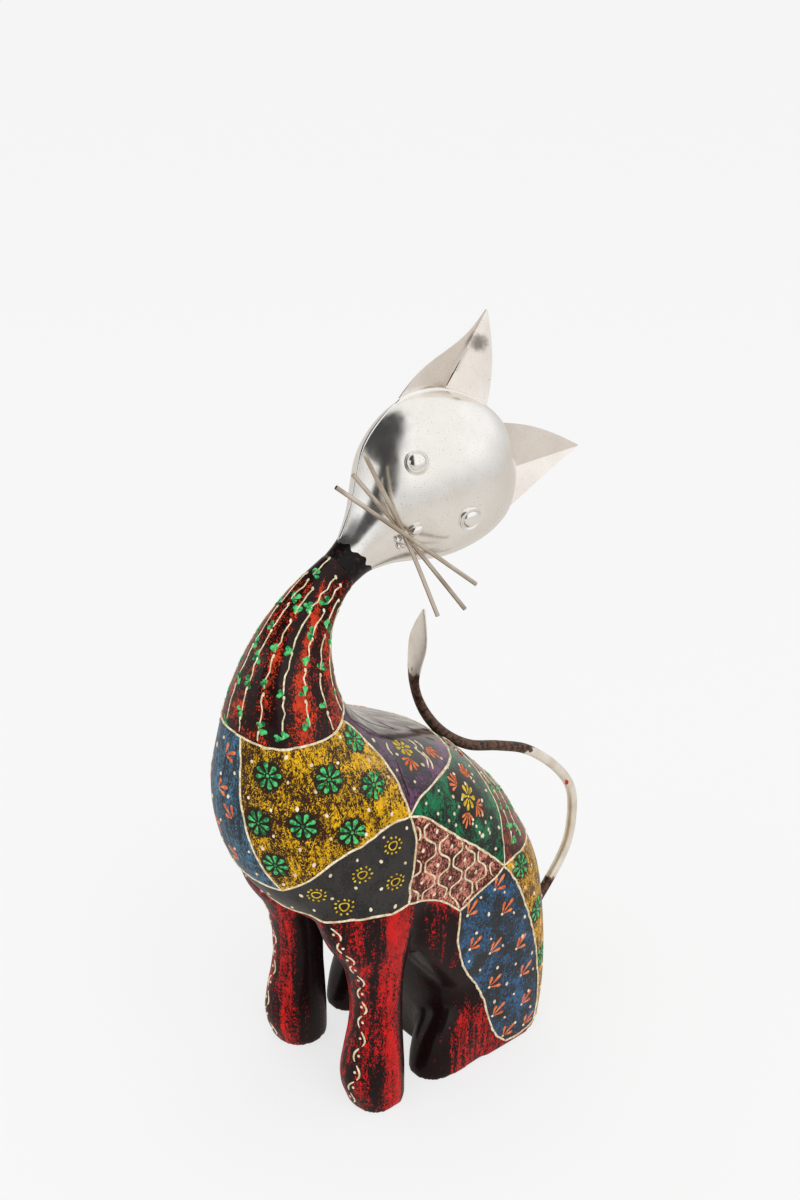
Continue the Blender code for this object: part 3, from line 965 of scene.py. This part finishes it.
BRAZING = ((1.5, 16.0, 1.6), (3.2, 17.4, 1.9), (5.0, 16.8, 1.5), (2.2, 19.0, 1.7),
           (4.4, 15.0, 1.2), (4.8, 19.6, 1.5))  # x, height and radius of each blob
EYE_RING = [(5.2, -0.9), (5.25, 0.3), (5.1, 0.7), (4.8, 0.8), (4.5, 0.6), (4.15, 0.2), (3.95, 0.1)]
EYE_DOME = (3.9, 2.45)  # half its width and its height
TAIL_BAR = ((80, 16), (98, 18), (112, 25), (125.5, 38), (138.5, 56), (142, 74.5), (139.5, 92),
            (127.3, 109.4), (107.6, 126.6), (88, 136.5), (69, 144.5), (52.8, 157.2))  # y, z
TAIL = [(y, z, 2.5, 2.5) for y, z in TAIL_BAR] + [
    (40.8, 173.5, 2.6, 2.3), (34.8, 191, 3.3, 1.4), (36.8, 208, 6, 0.9), (38.6, 217, 4.2, 0.8),
    (40.5, 225, 0.6, 0.6)]  # y, z, half width, half depth
TAIL_SPOT = (2.4, 134.6, 97.4)


def head_matrix():
    crown = turned(UP, BACKWARD, HEAD_LEAN)
    face = turned(ACROSS, turned(-BACKWARD, UP, HEAD_LEAN), HEAD_TURN)
    axes = Matrix((crown.cross(face), -face, crown)).transposed()
    return Matrix.Translation(COLLAR) @ axes.to_4x4()


SKULL_ROWS = smooth_between(HEAD, 8)


def skull_size(height):
    low, high = next(pair for pair in zip(SKULL_ROWS, SKULL_ROWS[1:]) if pair[1][0] >= height)
    share = (height - low[0]) / (high[0] - low[0])
    return low.lerp(high, share)[1:]


def skull_side(height, side):
    """Where the skull's two halves meet, at one height."""
    wide, _, middle = skull_size(height)
    return Vector((middle + side * wide, 0, height)) * MM


def face_point(x, height):
    wide, deep, middle = skull_size(height)
    return Vector((x, -deep * sqrt(1 - ((x - middle) / wide) ** 2), height)) * MM


def face_seat(x, height, lift=0.0):
    spot = face_point(x, height)
    along_x = (face_point(x + 0.5, height) - spot).normalized()
    along_z = (face_point(x, height + 0.5) - spot).normalized()
    out = along_x.cross(along_z).normalized()
    axes = Matrix((along_x, out.cross(along_x), out)).transposed()
    return Matrix.Translation(spot + out * lift * MM) @ axes.to_4x4()


def ear_rings(name, side):
    """The folded sheet of an ear from root to tip, and the line of its fold."""
    *root, tip = [Vector((x, depth, height)) * MM
                  for (x, height), depth in zip(EARS[name], (0, EAR_FOLD, 0, 0))]
    rings = []
    for step in range(33):
        share = 0.985 * step / 32
        outer, fold, inner = [corner.lerp(tip, share) for corner in root]
        inner += Vector((-side, 0, 1)) * EAR_BOW * MM * sin(pi * share)
        outer += Vector((-side, 0, 0)) * EAR_SWAY[name] * MM * -sin(2 * pi * share)
        front = []
        for start, end, count in ((outer, fold, 8), (fold, inner, 9)):
            for index in range(count):
                t = index / 8
                puff = Vector((0, -1.1, 0)) * MM * sin(pi * min(t, 1)) * (1 - share)
                front.append(start.lerp(end, t) + puff)
        back = [corner + BACKWARD * 0.9 * MM for corner in front]
        rings.append(front + back[::-1])
    creased = [root[1].lerp(tip, 0.1 + 0.3 * step / 8) - BACKWARD * 0.1 * MM for step in range(9)]
    return rings, creased


def build_head(plate, ear_plate, dark):
    matrix = head_matrix()

    def made(name, bm, surface=plate, slot="nickel_plate", sharp=40):
        bm.transform(matrix)
        return from_bmesh(name, bm, surface, sharp)

    def hull(name, rings, *look):
        bm = bmesh.new()
        skin(bm, rings)
        return made(name, bm, *look)

    def bar(name, path, sizes, sides, *look):
        bm = bmesh.new()
        sweep(bm, path, [(size, size) for size in sizes], BACKWARD, sides)
        return made(name, bm, *look)

    rings = [oval(Vector((middle, 0, height)) * MM, ACROSS, BACKWARD, wide, deep, 96)
             for height, wide, deep, middle in SKULL_ROWS]
    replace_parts(hull("head_shell", rings), "head")

    bm = bmesh.new()
    for side in (-1, 1):
        path = [skull_side(row[0], side) for row in SKULL_ROWS if 1 < row[0] < 62]
        sweep(bm, path, [SEAM] * len(path), BACKWARD, 10)
    made("head_seam", bm)

    # A thin dark line laid in the right ear's fold: painted shade of the crease.
    crease = line_paint("painted_crease_shade", (52, 44, 38), (84, 74, 64))
    for name, side in (("left", 1), ("right", -1)):
        rings, creased = ear_rings(name, side)
        sheet = hull("ear_%s_sheet" % name, rings, ear_plate, "nickel_plate", 50)
        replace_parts(sheet, "ear_" + name)
        # The right ear gets that dark line of painted shade along its fold.
        if name == "right":
            thin = [0.22 * sin(pi * (step + 1) / 10) for step in range(9)]
            bar("ear_crease_shade", creased, thin, 6, crease)

        rim = [skull_side(height, side) for height in range(56, 90)]
        weld = [EAR_WELD * min(1, (index + 2) / 6) for index in range(len(rim))]
        bar("ear_%s_weld" % name, rim, weld, 12)

        seat = face_seat(*EYES[name], 0.3)
        dome = [(EYE_DOME[0] * cos(radians(turn)), 0.15 + EYE_DOME[1] * sin(radians(turn)))
                for turn in range(0, 90, 9)]
        rings = [[seat @ spot for spot in oval(UP * height * MM, ACROSS, BACKWARD, radius, radius, 40)]
                 for radius, height in EYE_RING + dome]
        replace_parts(hull("eye_%s_rivet" % name, rings), "eye_" + name)

    bm = bmesh.new()
    bmesh.ops.create_uvsphere(bm, u_segments=24, v_segments=16, radius=1)
    bm.transform(face_seat(*NOSE, 1.6) @ Matrix.Diagonal((0.0019, 0.0036, 0.0018, 1)))
    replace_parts(made("nose_bead", bm), "nose")

    for layer, (name, spots) in enumerate(WHISKERS.items()):
        depth = WHISKER_DEPTH + WHISKER_STACK * layer
        path = [Vector((x, -depth, height)) * MM for x, height in smooth_between(spots, 6)]
        wire = bar("whisker_%s_wire" % name, path, [WIRE] * len(path), 16, dark, "wire")
        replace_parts(wire, "whisker_" + name)

    bm = bmesh.new()
    for x, height, size in BRAZING:
        seat = face_seat(x, height, 0.6)
        blob = bmesh.ops.create_icosphere(bm, subdivisions=3, radius=size * MM)
        for vertex in blob["verts"]:
            bump = 1 + 0.12 * sin(vertex.co.x * 2300) * cos(vertex.co.y * 1900)
            vertex.co = seat @ (vertex.co * bump)
    made("brazing", bm)


def build_collar():
    """Black paint brushed over the joint of neck and head, with a ragged upper edge."""
    n = material("collar_paint")
    n.set(Base_Color=n.mix(n.ramp(n.noise(500, 3, 0.6), 0.54, 0.66), rgb(8, 7, 7), rgb(58, 26, 20)),
          Roughness=0.3, Specular_IOR_Level=0.2)
    n.bump(n.noise(900, 3), 0.4, 0.0004)

    def brushed(turn, share, room):
        top = 1.0 + 1.2 * cos(turn) + 0.7 * sin(7 * turn) + 0.45 * sin(13 * turn + 1)
        height = COLLAR_FOOT + (top - COLLAR_FOOT) * share
        wide, deep, middle = skull_size(max(height, HEAD[0][0] + 0.1))
        return Vector((middle + cos(turn) * (wide + room), sin(turn) * (deep + room), height)) * MM

    turns = [2 * pi * side / 72 for side in range(72)]
    outside = [(share, 0.34 * (1 - 0.75 * share)) for share in (0, 0.2, 0.4, 0.6, 0.8, 1)]
    inside = [(share, -0.25) for share in (1, 0.5, 0)]
    bm = bmesh.new()
    skin(bm, [[brushed(turn, *layer) for turn in turns] for layer in outside + inside], False)
    bmesh.ops.bridge_loops(bm, edges=[edge for edge in bm.edges if edge.is_boundary])
    bm.transform(head_matrix())
    from_bmesh("collar", bm, n.material)


def build_tail(rod):
    rows = smooth_between(TAIL, 8)
    bm = bmesh.new()
    sweep(bm, [at(0, *row[:2]) for row in rows], [row[2:] for row in rows], ACROSS, 24)
    made = from_bmesh("tail_rod", bm, rod)
    # Dark where the rod runs over the back, a painted reflection of the body under it, and low near its
    # root, a painted shade.
    layer = made.data.attributes.new("reflection_and_shade", "FLOAT_COLOR", "POINT")
    for vertex, value in zip(made.data.vertices, layer.data):
        z = vertex.co.z / MM
        over_back = grow(z, 124, 129) * grow(z, 201, 192)
        value.color = (max(over_back, grow(z, 46, 37)),) * 3 + (1,)
    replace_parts(made, "tail")

    bm = bmesh.new()
    bmesh.ops.create_uvsphere(bm, u_segments=16, v_segments=10, radius=1)
    bm.transform(Matrix.Translation(at(*TAIL_SPOT)) @ Matrix.Diagonal((0.0006, 0.0011, 0.0013, 1)))
    red = line_paint("spot_red", (206, 40, 20), (170, 26, 16))
    from_bmesh("tail_spot", bm, red)


def rod_metal():
    """Silvery, with a dark brown where the attribute of that name says: a painted reflection and a
    painted shade.
    """
    n = material("tail_metal")
    brown, _ = n.attribute("reflection_and_shade")
    patchy = n.ramp(n.noise(300, 4, 0.65, stretch=(1, 1, 2)), 0.3, 0.7, -0.25, 0.25)
    share = n.ramp(n.plus(brown, patchy), 0.35, 0.6)
    silver = n.mix(n.ramp(n.noise(90, 3), 0.35, 0.65), rgb(232, 223, 208), rgb(248, 242, 232))
    # The dark brown of that painted reflection and painted shade.
    darkened = n.mix(n.ramp(n.noise(420, 4, 0.7), 0.4, 0.6), rgb(46, 34, 30), rgb(112, 80, 62))
    n.set(Base_Color=n.mix(share, silver, darkened), Metallic=n.ramp(share, 0, 1, 0.8, 0.55, "LINEAR"),
          Roughness=n.ramp(share, 0, 1, 0.4, 0.5, "LINEAR"))
    n.bump(n.noise(700, 3), 0.15, 0.0003)
    return n.material


# --- build

body = Painted()
plan = plan_flowers(body)
colour_body(body, shaded_spots(plan))
wood = new_object("body_wood", body.mesh, painted_wood())
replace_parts(wood, "body")
build_paint(body, plan)
plate = plated("nickel_plate", (248, 246, 242), (240, 236, 230), 0.2, 0.5)
burnt_spot = tuple(head_matrix() @ (Vector(BURNT_SPOT) * MM))
ear_plate = plated("ear_plate", (247, 240, 233), (236, 228, 219), 0.24, 0.5, burnt_spot)
wire = plated("wire_metal", (218, 208, 194), (176, 160, 142), 0.2, 0.4)
build_head(plate, ear_plate, wire)
build_collar()
build_tail(rod_metal())

# --- floor, light and camera

DARK_WAY = (0.569, 0.818)  # x and y of the way from the dark side across to the light one
LIGHT_AIM = Vector((0, 0, 0.15))
CAMERA_SPOT = at(493.29, -387.19, 555)
CAMERA_TURN = radians(50)
CAMERA_TILT = radians(90 - 26.5)


def soft_floor():
    """White paper. It glows a little to stay even, and less and warmer in reflections."""
    n = material("floor")
    glossy = n.add("ShaderNodeLightPath").outputs["Is Glossy Ray"]
    n.set(Base_Color=rgb(128, 128, 128), Roughness=1.0, Specular_IOR_Level=0.0,
          Emission_Color=n.mix(glossy, (1, 1, 1, 1), (1, 0.93, 0.85, 1)),
          Emission_Strength=n.ramp(glossy, 0, 1, 0.717, 0.49, "LINEAR"))
    mesh = bpy.data.meshes.new("floor")
    mesh.from_pydata([(-9, -9, 0), (9, -9, 0), (9, 9, 0), (-9, 9, 0)], [], [(0, 1, 2, 3)])
    mesh.materials.append(n.material)
    in_scene("floor", mesh)


def soft_box(name, spot, size, power):
    light = bpy.data.lights.new(name, "AREA")
    light.shape = "RECTANGLE"
    light.size = light.size_y = size
    light.energy = power
    made = in_scene(name, light)
    made.location = spot
    made.rotation_mode = "QUATERNION"
    made.rotation_quaternion = (LIGHT_AIM - Vector(spot)).to_track_quat("-Z", "Y")
    made.visible_glossy = False


def studio():
    """An even white surround. What is polished mirrors a dark side in it, to the front and the
    cat's right, with a light corner low on that right."""
    world = bpy.data.worlds.new("studio")
    SCENE.world = world
    n = Nodes(world, "Background", "Generated")
    x, y, z = n.split(n.place)
    soft = n.times(n.plus(n.noise(2.5, 2), -0.5), 0.12)
    ahead = n.plus(n.times(x, DARK_WAY[0]), n.times(y, DARK_WAY[1]))
    side = n.ramp(n.plus(ahead, soft), -0.32, -0.41)
    low = n.ramp(n.plus(z, n.times(y, 0.5)), 0.1, 0.02)
    corner = n.times(low, n.ramp(x, -0.14, -0.26))
    dark = n.times(n.times(side, n.ramp(z, 0.0, 0.1)), n.math("SUBTRACT", 1.0, corner))
    mirrored_light = n.times(n.ramp(z, 0.0, 0.42, 0.7, 1.0), n.ramp(dark, 0, 1, 1.0, 0.05))
    glossy = n.add("ShaderNodeLightPath").outputs["Is Glossy Ray"]
    n.set(Color=(1, 1, 1, 1), Strength=n.ramp(glossy, 0, 1, 0.9, mirrored_light, "LINEAR"))
    soft_box("key", (1.1, -0.2, 1.4), 0.9, 5)
    soft_box("side", (-0.2, -1.4, 0.9), 0.8, 2.5)


soft_floor()
studio()
lens = bpy.data.cameras.new("camera")
lens.sensor_width = 36
lens.lens = 50
lens.clip_start = 0.01
camera = in_scene("camera", lens)
camera.location = CAMERA_SPOT
camera.rotation_euler = (CAMERA_TILT, 0, CAMERA_TURN)
SCENE.camera = camera
SCENE.view_settings.view_transform = "Standard"
